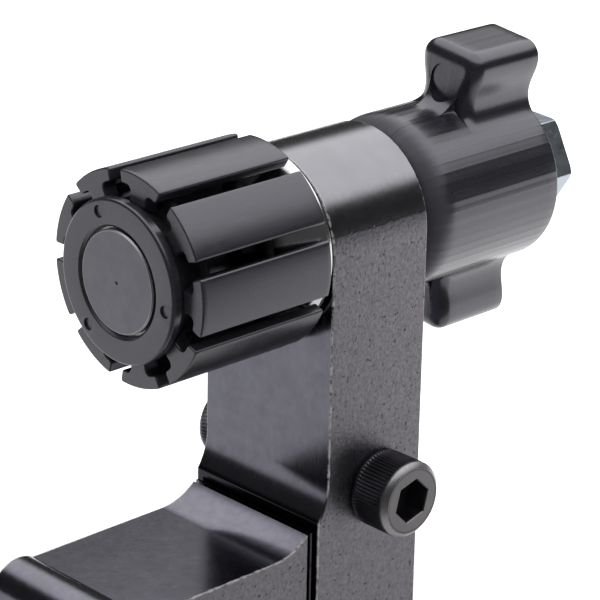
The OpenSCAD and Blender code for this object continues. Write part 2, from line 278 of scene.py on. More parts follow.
def grain(spot, scale, detail=3.0, rough=0.55, stretch=(1, 1, 1)):  # noise per mm, stretched along an axis
    shrunk = spot.node("ShaderNodeVectorMath", {"operation": "MULTIPLY"}, {0: spot, 1: stretch})
    sockets = {"Vector": shrunk, "Scale": scale, "Detail": detail, "Roughness": rough}
    return spot.node("ShaderNodeTexNoise", {}, sockets)


def grains(spot, finish, *names):  # noises whose scale, detail and so on stand in a finish's settings
    return [grain(spot, *finish[name]) for name in names]


def bands(value, scale, detail, rough=0.5):  # noise along one value
    sockets = {"W": value, "Scale": scale, "Detail": detail, "Roughness": rough}
    return value.node("ShaderNodeTexNoise", {"noise_dimensions": "1D"}, sockets)


def material(name, build, **fixed):
    # build gets the place in mm and its x, y, z, and returns what varies: colour, roughness, metallic, height
    made = bpy.data.materials.new(name)
    made.use_nodes = True
    tree = made.node_tree
    shader = tree.nodes["Principled BSDF"]
    start = Wire(tree, None)
    spot = start.node("ShaderNodeTexCoord", {}, {}, 3)
    spot = start.node("ShaderNodeVectorMath", {"operation": "SCALE"}, {0: spot, "Scale": 1 / mm})
    parts = [start.node("ShaderNodeSeparateXYZ", {}, {0: spot}, i) for i in range(3)]
    look = build(spot, *parts)
    for key, socket in (("colour", "Base Color"), ("roughness", "Roughness"), ("metallic", "Metallic")):
        if key in look:
            tree.links.new(look[key].socket, shader.inputs[socket])
    if "height" in look:
        sockets = {"Strength": 1.0, "Distance": mm, "Height": look["height"]}
        tree.links.new(start.node("ShaderNodeBump", {}, sockets).socket, shader.inputs["Normal"])
    for key, value in fixed.items():
        shader.inputs[key.replace("_", " ")].default_value = value
    return made


# Black steel of the arm and the base: smooth faces, pitted sides, edges worn bright

steel = {
    "smooth": (0.125, 0.123, 0.148), "machined": (0.20, 0.20, 0.215), "side": (0.145, 0.138, 0.153),
    # pitAndShade: the pits' own colour, also the colour of the painted shade on the arm's toe and the base's
    # leaf
    "pitAndShade": (0.03, 0.028, 0.034), "worn": (0.46, 0.445, 0.45),
    "smoothVaries": 0.4, "machinedVaries": 0.1, "sideVaries": 0.5,
    "pitShare": 0.8, "pitFrom": 0.60, "pitTo": 0.72,
    "edge": 0.22, "edgeFull": 0.02, "edgeRagged": 0.35, "chipFrom": 0.3, "chipTo": 0.55,
    "skinFrom": 0.12, "skinTo": 0.04,
    "smoothRough": 0.2, "sideRough": 0.38, "brushedRough": 0.14, "wornRough": 0.2, "wornDull": 0.8,
    "pebbleHigh": 0.03, "pitDeep": 0.035, "fineHigh": 0.006, "brushedHigh": 0.0025, "coarseHigh": 0.003,
    "coarse": (1.1, 4.0), "pebble": (3.2, 2.0, 0.6), "fine": (9.0, 2.0), "pits": (2.3, 3.0, 0.65),
    "cloud": (0.35, 3.0), "brushed": (4.0, 1.5, 0.5, (1, 1, 0.12)), "chips": (3.0, 2.0),
    "skinEnd": (1.5, 3.0)}


def steelLook(spot, edgeGap, sideMask, machinedMask=None):
    # wear where the distance to an edge is small, pebbles and pits on the sides
    coarse, pebble, fine, cloud = grains(spot, steel, "coarse", "pebble", "fine", "cloud")
    brushed, pits, chips = grains(spot, steel, "brushed", "pits", "chips")
    pits = rise(pits, steel["pitFrom"], steel["pitTo"])
    wear = rise(edgeGap + (coarse - 0.5) * steel["edgeRagged"], steel["edge"], steel["edgeFull"])
    wear = wear * rise(chips, steel["chipFrom"], steel["chipTo"])
    plain = shades(cloud * 0.5 + coarse * 0.5, steel["smooth"], steel["smoothVaries"])
    if machinedMask is not None:
        plain = tint(machinedMask, plain, shades(cloud, steel["machined"], steel["machinedVaries"]))
    side = shades(pebble, steel["side"], steel["sideVaries"])
    side = tint(pits * steel["pitShare"], side, steel["pitAndShade"])
    rough = steel["smoothRough"] + (brushed - 0.5) * steel["brushedRough"] + wear * steel["wornRough"]
    lumps = pebble * steel["pebbleHigh"] - pits * steel["pitDeep"] + fine * steel["fineHigh"]
    lines = brushed * steel["brushedHigh"] + coarse * steel["coarseHigh"]
    return {"colour": tint(wear, tint(sideMask, plain, side), steel["worn"]),
            "roughness": rough + sideMask * (steel["sideRough"] - steel["smoothRough"]),
            "metallic": 1 - wear * steel["wornDull"],
            "height": lumps * sideMask + lines * (1 - sideMask)}


# Arm: its front outline carried along y, met by its side outline carried along x

arm = {"edge": 0.2, "swing": 3.9, "slot": 6.2, "pivotHole": 2.13, "sleeveHole": 5.02, "sleeveEnd": 7.3,
       "boltHole": 2.45, "skinTop": 1.7, "headFrom": 2.0, "skinRagged": 0.5, "toeHigh": 4.0,
       "toeShadeFrom": 0.3, "toeShadeTo": 0.1}
spare = 3.0  # how far a cutting tool stands out of what it cuts


def armLook(spot, x, y, z):
    above = z - axisZ
    outGap = halfWidth - root(x * x + highest(above, 0.0) ** 2)  # from the sides, and round over the head
    frontLine = rise(z, cornerZ, cornerZ - arm["toeHigh"]) * armLow[1]
    faceGap = lowest(y - frontLine, armHigh[1] - y)
    outside = rise(outGap, steel["skinFrom"], steel["skinTo"])
    ragged = above + (grain(spot, *steel["skinEnd"]) - 0.5) * arm["skinRagged"]
    side = outside * rise(ragged, arm["headFrom"], arm["skinTop"])  # the rolled skin ends above the axis
    head = outside * rise(above, arm["skinTop"], arm["headFrom"])
    look = steelLook(spot, highest(outGap, faceGap), side, head)
    toe = rise(y, armLow[1] + arm["toeShadeFrom"], armLow[1] + arm["toeShadeTo"])
    toe = toe * rise(outGap, arm["toeShadeTo"], arm["toeShadeFrom"])  # painted shade: the toe's end in the gap is darkened to the pits' colour
    look["colour"] = tint(toe, look["colour"], steel["pitAndShade"])
    return look


def cornerArc(first, last, steps=24):  # the concave corner between two y places, from the upper end down
    r = corner["radius"]
    start, stop = (-np.degrees(np.arccos(1 + y / r)) for y in (first, last))
    return arc((-r, cornerZ), r, start, stop, steps)


armSteel = material("arm_steel", armLook, Metallic=1.0)
front = np.concatenate([arc((0, axisZ), halfWidth, 180, 0, steps=96),
                        [[halfWidth, armLow[2] - spare], [-halfWidth, armLow[2] - spare]]])
side = np.concatenate([[[armHigh[1], armLow[2]], [armHigh[1], armHigh[2] + spare], [0, armHigh[2] + spare]],
                       cornerArc(0, armLow[1]), [[armLow[1], armLow[2]]]])
armPiece = prism("arm_bar", front, "y", armLow[1] - spare, armHigh[1] + spare)
combine(armPiece, prism("arm_side", side, "x", -halfWidth - spare, halfWidth + spare), "INTERSECT")

# room for the base's tongue, which leans forward in it as the arm tilts
drop = pivot[2] - armLow[2] + spare
leanedY = pivot[1] - arm["swing"] / cos(tiltMost) - drop * tan(tiltMost)
room = np.concatenate([arc(pivot[1:], arm["swing"], 0, 180 - np.degrees(tiltMost)),
                       [[leanedY, pivot[2] - drop], [pivot[1] + arm["swing"], pivot[2] - drop]]])
cut(armPiece, prism("tongue_room", room, "x", -arm["slot"] / 2, arm["slot"] / 2))
soften(armPiece, arm["edge"])
pivotHole = circle(pivot[1:], arm["pivotHole"])
cut(armPiece, prism("pivot_hole", pivotHole, "x", -halfWidth - spare, halfWidth + spare))
sleeveHole = circle((0, axisZ), arm["sleeveHole"], sides=72)
cut(armPiece, prism("sleeve_hole", sleeveHole, "y", -spare, arm["sleeveEnd"]))
cut(armPiece, prism("bolt_hole", circle((0, axisZ), arm["boltHole"]), "y", 0, armHigh[1] + spare))
place(shadeFlatAndRound(armPiece), armSteel, "arm", "black_steel", "arm")


# Base: its side outline carried along x, with the tongue that the arm straddles

baseLow, baseHigh = span("base_block")
base = {"edge": 0.16, "edgeLimit": 35, "shadeLimit": 31, "heel": 5.0, "slit": 0.25,
        "lipR": 2.9, "lipRise": 0.45, "tongue": 6.0, "tongueR": 3.6, "tongueRoot": 1.0, "pivotHole": 2.1,
        "boltHole": 2.1, "boltSpacing": 24.0, "boltDepth": 10.0, "boltSpare": 1.0,
        "leaf": 0.25, "leafCut": 0.35, "leafFloor": 8.0, "leafRise": 1.5, "leafOver": 0.1,
        "leafShade": 0.6, "leafFade": 0.5}
baseHalf = baseHigh[0]
baseRear = armLow[1] - base["slit"]
leafFront = baseRear - base["leaf"]
leafTop = corner["shelf"] + base["leafRise"]
lipY = baseLow[1] + base["lipR"]
lipZ = corner["shelf"] + base["lipRise"] - base["lipR"]


def baseLook(spot, x, y, z):
    fillet = corner["radius"] - root(corner["radius"] ** 2 - highest(y + corner["radius"], 0.0) ** 2)
    lip = highest(lipZ - corner["shelf"] + root(base["lipR"] ** 2 - (y - lipY) ** 2), 0.0)
    topGap = corner["shelf"] + fillet + lip - z
    sideGap = baseHalf - abs(x)
    side = rise(sideGap, steel["skinFrom"], steel["skinTo"])
    look = steelLook(spot, highest(sideGap, topGap), side)
    leaf = rise(y, leafFront - base["leafOver"], leafFront)
    leaf = leaf * rise(z, base["heel"], base["heel"] + base["leafFade"])
    shade = leaf * side * base["leafShade"]  # the leaf stands in the slit's shade
    look["colour"] = tint(shade, look["colour"], steel["pitAndShade"])
    return look


baseSteel = material("base_steel", baseLook, Metallic=1.0)
lipMeet = np.degrees(np.arcsin((base["lipR"] - base["lipRise"]) / base["lipR"]))
block = np.concatenate([[[baseHigh[1], 0], [baseHigh[1], base["heel"]], [baseRear, base["heel"]]],
                        cornerArc(baseRear, -corner["radius"]),
                        arc((lipY, lipZ), base["lipR"], lipMeet, 180, steps=28), [[baseLow[1], 0]]])
basePiece = prism("base_body", block, "x", -baseHalf, baseHalf)
tongueFoot = base["heel"] - base["tongueRoot"]
tongueFront, tongueRear = pivot[1] - base["tongueR"], pivot[1] + base["tongueR"]
tongue = np.concatenate([arc(pivot[1:], base["tongueR"], 0, 180, steps=32),
                         [[tongueFront, tongueFoot], [tongueRear, tongueFoot]]])
combine(basePiece, prism("tongue", tongue, "x", -base["tongue"] / 2, base["tongue"] / 2), "UNION")
soften(basePiece, base["edge"], limit=base["edgeLimit"])  # the lip's inner corner stays sharp
cutFront, cutRear = leafFront - base["leafCut"], baseRear + base["leafOver"]
sawn = [[cutFront, base["leafFloor"]], [leafFront, base["leafFloor"]], [leafFront, leafTop],
        [cutRear, leafTop], [cutRear, cornerZ], [cutFront, cornerZ]]
cut(basePiece, prism("saw_cut", sawn, "x", -baseHalf - spare, baseHalf + spare))
cut(basePiece, prism("pivot_hole", circle(pivot[1:], base["pivotHole"]), "x", -baseHalf, baseHalf))
boltY = base["boltSpacing"] / 2
for holeY, depth in ((-boltY, base["boltDepth"]), (boltY, base["heel"] + base["boltSpare"])):
    cut(basePiece, prism("bolt_hole", circle((0, holeY), base["boltHole"]), "z", -base["boltSpare"], depth))
place(shadeFlatAndRound(basePiece, base["shadeLimit"]), baseSteel, "base", "black_steel", "base_block")


# Jaws: a T section carried along y, its web resting on both cones

jawLow, jawHigh = span("jaw_1")
hubLow, hubHigh = span("front_cone")
flangeLow, flangeHigh = span("rear_cone")
jaw = {"count": 9, "slot": 1.4, "pad": 1.15, "web": 1.9, "webInner": 5.38, "footBand": 0.2,
       "coneAngle": 30.0, "gap": 0.08, "hubRim": 0.87, "flangeT": 1.0,
       "padEdge": 0.3, "padUnder": 0.3, "webRoot": 0.5, "rim": 0.15,
       "windowR": 6.55, "windowW": 1.5, "windowAt": (-13.85, -6.75), "stations": 40, "rimStations": 5,
       "shadeLimit": 50}
slope = tan(radians(jaw["coneAngle"]))
lift = jaw["gap"] / cos(radians(jaw["coneAngle"]))
pitch = 2 * pi / jaw["count"]
jawR = jawHigh[0]
padInner = jawR - jaw["pad"]


def jawSection():
    # out along the pad's round top, in by its sloping sides, down the web; (radius, across) points
    half = pitch / 2
    away = np.array([cos(half), sin(half)])  # along the middle of the slot
    aside = np.array([sin(half), -cos(half)]) * jaw["slot"] / 2

    def onSlot(r):  # where the pad's side meets a radius
        along = np.sqrt(r * r - (jaw["slot"] / 2) ** 2)
        return away * along + aside

    outer, inner = onSlot(jawR), onSlot(padInner)
    topTurn = np.degrees(np.arctan2(outer[1], outer[0]))
    underTurn = np.degrees(np.arctan2(inner[1], inner[0]))
    webTurn = np.degrees(np.arcsin(jaw["web"] / 2 / padInner))
    top = arc((0, 0), jawR, -topTurn, topTurn, steps=10)
    under = arc((0, 0), padInner, underTurn, webTurn, steps=1)
    foot = np.array([[jaw["webInner"], jaw["web"] / 2]])
    loop = np.concatenate([top, under, foot, foot * [1, -1], under[::-1] * [1, -1]])
    radii = np.zeros(len(loop))
    radii[[0, len(top) - 1]] = jaw["padEdge"]
    radii[[len(top), len(loop) - 1]] = jaw["padUnder"]
    radii[[len(top) + 1, len(loop) - 2]] = jaw["webRoot"]
    return filletLoop(loop, radii)


def jawGrid():
    # the section at each station along y, drawn in round both ends, its foot lifted on to the higher cone
    section = jawSection()
    turn = np.radians(np.linspace(0, 90, jaw["rimStations"]))
    fall, climb = jaw["rim"] * (1 - np.sin(turn)), jaw["rim"] * (1 - np.cos(turn))
    middle = np.linspace(jawLow[1] + jaw["rim"], jawHigh[1] - jaw["rim"], jaw["stations"] + 2)[1:-1]
    stations = np.concatenate([jawLow[1] + climb, middle, jawHigh[1] - fall])
    inset = np.concatenate([fall, np.zeros(len(middle)), climb])
    drawn = section[None] + inwardOf(section)[None] * inset[:, None, None]
    frontCone = hubHigh[0] + lift - (stations - hubLow[1] - jaw["hubRim"]) * slope
    rearCone = flangeHigh[0] + lift + (stations + jaw["flangeT"]) * slope
    footR = np.maximum(np.maximum(frontCone, rearCone), jaw["webInner"])[:, None]
    atFoot = section[:, 0] < jaw["webInner"] + jaw["footBand"]
    across = drawn[:, :, 1]
    out = np.where(atFoot[None], np.sqrt(footR ** 2 - across ** 2), drawn[:, :, 0])
    return np.stack([out, np.broadcast_to(stations[:, None], out.shape), across], -1)


jawFinish = {"dark": (0.012, 0.0115, 0.0145), "light": (0.021, 0.020, 0.025), "gloss": 1.73,
             "rough": 0.3, "drawnRough": 0.16, "cloudRough": 0.1, "fineHigh": 0.0025, "drawnHigh": 0.002,
             "cloud": (0.6, 3.0), "fine": (14.0, 2.0), "drawn": (5.0, 3.0, 0.6, (1, 0.08, 1))}
coolGloss = (0.91, 0.90, 1.0, 1.0)  # both plastics mirror a little blue


def jawPlasticLook(spot, x, y, z):
    cloud, fine, drawn = grains(spot, jawFinish, "cloud", "fine", "drawn")  # drawn out along the collet
    rough = (drawn - 0.5) * jawFinish["drawnRough"] + (cloud - 0.5) * jawFinish["cloudRough"]
    return {"colour": tint(cloud, jawFinish["dark"], jawFinish["light"]),
            "roughness": jawFinish["rough"] + rough,
            "height": fine * jawFinish["fineHigh"] + drawn * jawFinish["drawnHigh"]}


jawPlastic = material("jaw_plastic", jawPlasticLook, IOR=jawFinish["gloss"], Specular_Tint=coolGloss)
onAxis = np.array([0, 0, axisZ])
firstJaw = surface("jaw_piece_1", jawGrid() + onAxis)
for windowY in jaw["windowAt"]:
    low, high = windowY - jaw["windowW"] / 2, windowY + jaw["windowW"] / 2
    window = [[jaw["windowR"], low], [padInner, low], [padInner, high], [jaw["windowR"], high]]
    cut(firstJaw, lathe("window", window, turns=288))
shadeFlatAndRound(firstJaw, jaw["shadeLimit"])
jawPoints = np.zeros(len(firstJaw.data.vertices) * 3)
firstJaw.data.vertices.foreach_get("co", jawPoints)
jawPoints = jawPoints.reshape(-1, 3) - onAxis * mm
for number in range(1, jaw["count"] + 1):
    turn = pitch * (number - 1)
    turned = np.array([[cos(turn), 0, -sin(turn)], [0, 1, 0], [sin(turn), 0, cos(turn)]])
    piece = firstJaw
    if number > 1:
        piece = bpy.data.objects.new(f"jaw_piece_{number}", firstJaw.data.copy())
        scene.collection.objects.link(piece)
        piece.data.vertices.foreach_set("co", (jawPoints @ turned.T + onAxis * mm).ravel())
        piece.data.update()
    place(piece, jawPlastic, f"jaw_{number}", "jaw_plastic", f"jaw_{number}")


# Hub, plug and rear cone: profiles carried round the axis, with a rounding for each point

hub = {"rim": 0.28, "edge": 0.1, "faceEdge": 0.06, "seatEdge": 0.05, "seat": 4.66, "chamfer": 0.25,
       "collar": 3.37, "step": 3.0, "tipR": 4.6,
       "markR": 0.55, "markAt": 6.0, "markDepth": 0.2, "marks": (112, 232, 352)}
hubFace = hubLow[1]
hubBack = hubFace + jaw["hubRim"]
hubStep = hubFace + hub["step"]
hubProfile = filletLoop(
    [[hub["seat"] + hub["chamfer"], hubFace], [hubHigh[0], hubFace], [hubHigh[0], hubBack],
     [hub["tipR"], hubHigh[1]], [hub["collar"], hubHigh[1]], [hub["collar"], hubStep],
     [hub["seat"], hubStep], [hub["seat"], hubFace + hub["chamfer"]]],
    [hub["faceEdge"], hub["rim"], hub["edge"], hub["edge"], 0, 0, 0, hub["seatEdge"]])
hubPiece = lathe("hub", hubProfile)
for spoke in np.radians(hub["marks"]):
    middle = (hub["markAt"] * cos(spoke), axisZ + hub["markAt"] * sin(spoke))
    mark = circle(middle, hub["markR"], sides=32)
    cut(hubPiece, prism("mark", mark, "y", hubFace - spare, hubFace + hub["markDepth"]))
place(shadeFlatAndRound(hubPiece), jawPlastic, "drawbar", "jaw_plastic", "front_cone")

plugLow, plugHigh = span("taper_plug")
plug = {"chamfer": 0.12, "groove": 0.16, "grooveDepth": 0.7, "dimple": 0.2, "dimpleDepth": 0.13,
        "step": 3.0, "stepEdge": 0.05, "shank": 3.35, "shankEdge": 0.1, "bore": 2.45, "boreEnd": -11.36,
        "shadeLimit": 25}
plugFinish = {"dark": (0.124, 0.122, 0.140), "light": (0.172, 0.168, 0.188),
              "rim": (0.50, 0.50, 0.51), "rimShare": 0.8, "rimFrom": 0.2, "rimTo": 0.1,
              "rough": 0.4, "ringRough": 0.25, "speckRough": 0.1, "ringHigh": 0.001, "speckHigh": 0.003,
              "rings": (9.0, 4.0, 0.7), "cloud": (0.8, 3.0), "speck": (7.0, 2.0)}
discR = plugHigh[0] - plug["groove"]


def plugLook(spot, x, y, z):
    out = fromAxis(x, z)
    rings = bands(out, *plugFinish["rings"])
    cloud, speck = grains(spot, plugFinish, "cloud", "speck")
    rim = rise(out, discR - plugFinish["rimFrom"], discR - plugFinish["rimTo"]) * plugFinish["rimShare"]
    plain = tint(cloud, plugFinish["dark"], plugFinish["light"])
    rough = (rings - 0.5) * plugFinish["ringRough"] + (speck - 0.5) * plugFinish["speckRough"]
    return {"colour": tint(rim, plain, plugFinish["rim"]), "roughness": plugFinish["rough"] + rough,
            "height": rings * plugFinish["ringHigh"] + speck * plugFinish["speckHigh"]}


plugSteel = material("plug_steel", plugLook, Metallic=1.0)
plugFace = plugLow[1]
grooveFloor, plugStep = plugFace + plug["grooveDepth"], plugFace + plug["step"]
plugProfile = np.concatenate([
    [[0, plugFace + plug["dimpleDepth"]], [plug["dimple"], plugFace]],
    filletLoop([[discR - plug["chamfer"], plugFace], [discR, plugFace + plug["chamfer"]],
                [discR, grooveFloor], [plugHigh[0], grooveFloor], [plugHigh[0], plugStep],
                [plug["shank"], plugStep], [plug["shank"], plugHigh[1]],
                [plug["bore"], plugHigh[1]], [plug["bore"], plug["boreEnd"]], [0, plug["boreEnd"]]],
               [0, 0, 0, 0, plug["stepEdge"], 0, plug["shankEdge"], 0, 0, 0], steps=3)])
plugPiece = shadeFlatAndRound(lathe("plug", plugProfile), plug["shadeLimit"])
place(plugPiece, plugSteel, "drawbar", "turned_steel", "taper_plug")

rear = {"sleeve": 5.0, "sleeveEdge": 0.2, "guide": 3.4, "rim": 0.1, "tipR": 4.6,
        "relief": 7.2, "reliefW": 0.45, "reliefEdge": 0.05}
brightFinish = {"dark": (0.54, 0.54, 0.55), "light": (0.72, 0.72, 0.73), "innerDark": (0.05, 0.048, 0.05),
                "innerDarkFrom": 6.6, "innerDarkFull": 5.9, "rough": 0.18, "ringRough": 0.14, "ringHigh": 0.003,
                "rings": (12.0, 3.0), "cloud": (0.9, 3.0)}


def brightLook(spot, x, y, z):
    out = fromAxis(x, z)
    rings = bands(out + y, *brightFinish["rings"])
    clean = tint(grain(spot, *brightFinish["cloud"]), brightFinish["dark"], brightFinish["light"])
    deep = rise(out, brightFinish["innerDarkFrom"], brightFinish["innerDarkFull"])  # darker towards the shank
    return {"colour": tint(deep, clean, brightFinish["innerDark"]),
            "roughness": brightFinish["rough"] + (rings - 0.5) * brightFinish["ringRough"],
            "height": rings * brightFinish["ringHigh"]}


brightSteel = material("bright_steel", brightLook, Metallic=1.0)
rearProfile = filletLoop(
    [[rear["guide"], flangeLow[1]], [rear["tipR"], flangeLow[1]], [flangeHigh[0], -jaw["flangeT"]],
     [flangeHigh[0], -rear["reliefW"]], [rear["relief"], -rear["reliefW"]], [rear["relief"], 0],
     [rear["sleeve"], 0], [rear["sleeve"], flangeHigh[1]], [rear["guide"], flangeHigh[1]]],
    [0, rear["rim"], rear["rim"], rear["rim"], rear["reliefEdge"], 0, 0, rear["sleeveEdge"], 0], steps=3)
place(shadeFlatAndRound(lathe("rear_flange", rearProfile)), brightSteel, "arm", "bright_steel", "rear_cone")


# Wing knob: a circle that swells into a winged outline, with a cove in front of the wings

knobLow, knobHigh = span("wing_knob")
knob = {"radius": 8.0, "faceR": 6.3, "shoulder": 3.0, "cove": 2.4, "lean": 7.0,
        "wingLen": 8.4, "reach": 5.595, "wingW": 7.0, "neckW": 5.8, "tipR": 1.6, "rootR": 2.4,
        "frontR": 1.25, "frontGrows": 0.12, "backR": 0.22, "bore": 2.45, "nutAf": 8.1, "nutEnd": 16.0,
        "markR": 1.7, "markAt": 10.3, "markDepth": 0.2, "markAhead": 1.0, "flats": 56,
        "quarterPoints": 96, "flankPoints": 24, "turnRows": 13, "barrelRows": 6, "faceRows": 8, "wingRows": 8}
knobR = knob["radius"]
wingTop = knobR + knob["reach"]
wingFront = knobHigh[1] - knob["wingLen"]
lean = radians(knob["lean"])


def wingOutline():
    # a quarter in (across, up): round the barrel, through the root's hollow, up the waisted flank and the tip
    # the second outline is the edge of the wing's flat front, inside the first by the front's rounding
    rootX = knob["neckW"] / 2 + knob["rootR"]
    rootZ = np.sqrt((knobR + knob["rootR"]) ** 2 - rootX ** 2)
    meet = np.degrees(np.arctan2(rootZ, rootX))
    barrel = arc((0, 0), knobR, 0, meet, steps=40)
    hollow = arc((rootX, rootZ), knob["rootR"], 180 + meet, 180, steps=16)
    tipZ = wingTop - knob["tipR"]
    t = np.linspace(0, 1, knob["flankPoints"])
    flank = np.stack([knob["neckW"] / 2 + (knob["wingW"] - knob["neckW"]) / 4 * (1 - np.cos(pi * t)),
                      rootZ + (tipZ - rootZ) * t], 1)
    tip = arc((knob["wingW"] / 2 - knob["tipR"], tipZ), knob["tipR"], 0, 90, steps=20)
    path = np.concatenate([barrel, hollow[1:], flank[1:], tip[1:], [[0, wingTop]]])
    length = np.concatenate([[0], np.cumsum(np.linalg.norm(np.diff(path, axis=0), axis=1))])
    even = np.linspace(0, length[-1], knob["quarterPoints"] + 1)
    points = np.stack([np.interp(even, length, path[:, i]) for i in range(2)], 1)
    barrelEnd = len(barrel) - 1
    flankEnd = barrelEnd + len(hollow) + len(flank) - 2
    swellFrom, swellTo, flankTo = length[[barrelEnd, barrelEnd + len(hollow) - 2, flankEnd]]
    swell = np.clip((even - swellFrom) / (swellTo - swellFrom), 0, 1)
    upFlank = np.clip((even - swellTo) / (flankTo - swellTo), 0, 1)
    tangent = np.gradient(points, axis=0)
    inward = np.stack([-tangent[:, 1], tangent[:, 0]], 1) / np.linalg.norm(tangent, axis=1, keepdims=True)
    inset = knob["frontR"] * swell * swell * (3 - 2 * swell) * (1 + knob["frontGrows"] * upFlank)
    inner = points + inward * inset[:, None]
    size = np.linalg.norm(inner, axis=1, keepdims=True)
    return points, inner * np.maximum(size, knobR) / size


def fourQuarters(quarter):  # the whole outline from its quarter, from +x round by the upper wing
    xs, zs = quarter.T
    loopX = np.concatenate([xs[:-1], -xs[:0:-1], -xs[:-1], xs[:0:-1]])
    loopZ = np.concatenate([zs[:-1], zs[:0:-1], -zs[:-1], -zs[:0:-1]])
    return np.stack([loopX, loopZ], 1)


def knobGrid():
    # one outline for each step from the nut's pocket, over the front, cove and wings, to the bolt's bore
    winged, inner = (fourQuarters(quarter) for quarter in wingOutline())
    home = inner / np.linalg.norm(inner, axis=1, keepdims=True)  # every outline's points keep these bearings
    inward = inwardOf(winged)
    hexTurn = (np.arctan2(home[:, 0], home[:, 1]) + pi / 6) % (pi / 3) - pi / 6
    nut = home * (knob["nutAf"] / 2 / np.cos(hexTurn))[:, None]
    bore = home * knob["bore"]
    full = home * knobR
    low, high, ahead = knobLow[1], knobHigh[1], wingFront
    tall = knob["reach"] - knob["frontR"]
    coved = knob["cove"] / tall  # the cove's share of the wing's height
    quarter = np.radians(np.linspace(0, 90, knob["turnRows"]))
    rows = [(low, nut)]
    rows += [(low + knob["shoulder"] * (1 - cos(a)), full + home * (knob["faceR"] - knobR) * (1 - sin(a)))
             for a in quarter]
    barrel = np.linspace(low + knob["shoulder"], ahead - knob["cove"], knob["barrelRows"])
    rows += [(y, full) for y in barrel[1:]]
    rows += [(ahead - knob["cove"] * (1 - sin(a)), full + (inner - full) * coved * (1 - cos(a)))
             for a in quarter[1:]]
    rows += [(ahead, full + (inner - full) * s) for s in np.linspace(coved, 1, knob["faceRows"])[1:]]
    rows += [(ahead + knob["frontR"] * (1 - cos(a)), winged + (inner - winged) * (1 - sin(a)))
             for a in quarter[1:]]
    wings = np.linspace(ahead + knob["frontR"], high - knob["backR"], knob["wingRows"])
    rows += [(y, winged) for y in wings[1:]]
    rows += [(high - knob["backR"] * (1 - sin(a)), winged + inward * knob["backR"] * (1 - cos(a)))
             for a in quarter[3::3]]
    rows += [(high, bore), (knob["nutEnd"], bore), (knob["nutEnd"], nut)]
    across, up = np.stack([outline for _, outline in rows]).transpose(2, 0, 1)
    along = np.broadcast_to(np.array([y for y, _ in rows])[:, None], across.shape)
    x, z = across * cos(lean) + up * sin(lean), axisZ + up * cos(lean) - across * sin(lean)
    return np.stack([x, along, z], -1)


knobFinish = {"dark": (0.010, 0.0098, 0.0135), "light": (0.018, 0.0175, 0.023), "gloss": 1.8,
              "rough": 0.27, "drawnRough": 0.12, "streakRough": 0.1,
              "mattRough": 0.45, "mattFrom": 2.8, "mattFull": 1.0, "barrelFrom": 0.1, "barrelTo": 0.02,
              "streakHigh": 0.02, "fineHigh": 0.0015, "drawnHigh": 0.0015, "streak": (9.0, 1.0),
              "cloud": (0.5, 3.0), "fine": (12.0, 2.0), "drawn": (2.5, 3.0, 0.6, (1, 0.05, 1))}


def knobLook(spot, x, y, z):
    bearing = x.math("ARCTAN2", x, z - axisZ)
    streak = bands(bearing, *knobFinish["streak"])
    turns = bearing * (knob["flats"] / 2 / pi)
    across = turns.math("FRACT", turns) * 2 - 1
    onBarrel = rise(fromAxis(x, z), knobR + knobFinish["barrelFrom"], knobR + knobFinish["barrelTo"])
    flats = across * across * onBarrel * (knobR * (1 - cos(pi / knob["flats"])))  # the mould's narrow flats
    matt = rise(y - knobLow[1], knobFinish["mattFrom"], knobFinish["mattFull"])  # the front is duller
    cloud, fine, drawn = grains(spot, knobFinish, "cloud", "fine", "drawn")
    rough = (drawn - 0.5) * knobFinish["drawnRough"] + (streak - 0.5) * knobFinish["streakRough"]
    lines = streak * knobFinish["streakHigh"] + drawn * knobFinish["drawnHigh"]
    return {"colour": tint(cloud, knobFinish["dark"], knobFinish["light"]),
            "roughness": knobFinish["rough"] + rough + matt * knobFinish["mattRough"],
            "height": lines + fine * knobFinish["fineHigh"] + flats}


knobPlastic = material("knob_plastic", knobLook, IOR=knobFinish["gloss"], Specular_Tint=coolGloss)
knobPiece = surface("knob", knobGrid(), ringed=True)
for sign in (1, -1):
    middle = (sign * knob["markAt"] * sin(lean), axisZ + sign * knob["markAt"] * cos(lean))
    mark = circle(middle, knob["markR"], sides=64)
    cut(knobPiece, prism("mark", mark, "y", wingFront - knob["markAhead"], wingFront + knob["markDepth"]))
place(shadeFlatAndRound(knobPiece), knobPlastic, "knob", "knob_plastic", "wing_knob")


# Hex bolt and its washer

boltLow, boltHigh = span("draw_bolt")
washerLow, washerHigh = span("bolt_washer")
bolt = {"af": 9.0, "edge": 0.08, "bevel": 0.4, "bevelAngle": 30.0, "turn": -3.0, "radius": 2.4,
        "tipEdge": 0.4, "over": 1.0, "shadeLimit": 25,
        "washerGap": 0.05, "washerEdges": (0.05, 0.2, 0.3, 0.05)}
zincFinish = {"dark": (0.25, 0.285, 0.335), "light": (0.34, 0.375, 0.415), "rough": 0.3, "cloudRough": 0.14,
              "scuffRough": 0.1, "scuffFrom": 0.55, "scuffTo": 0.7, "scuffHigh": 0.004, "cloudHigh": 0.04,
              "cloud": (0.7, 3.0), "scuff": (3.0, 4.0, 0.7)}


def zincLook(spot, x, y, z):
    cloud, scuff = grains(spot, zincFinish, "cloud", "scuff")
    scuff = rise(scuff, zincFinish["scuffFrom"], zincFinish["scuffTo"])
    rough = (cloud - 0.5) * zincFinish["cloudRough"] + scuff * zincFinish["scuffRough"]
    return {"colour": tint(cloud, zincFinish["dark"], zincFinish["light"]),
            "roughness": zincFinish["rough"] + rough,
            "height": scuff * zincFinish["scuffHigh"] + cloud * zincFinish["cloudHigh"]}


zinc = material("zinc_plate", zincLook, Metallic=1.0)
hexR = bolt["af"] / 2 / cos(pi / 6)
hexTurn = np.radians(np.arange(0, 360, 60) + bolt["turn"])
hexLoop = np.stack([np.cos(hexTurn), np.sin(hexTurn)], 1) * hexR + [0, axisZ]
boltPiece = prism("hex_bolt", hexLoop, "y", washerHigh[1], boltHigh[1])
soften(boltPiece, bolt["edge"])

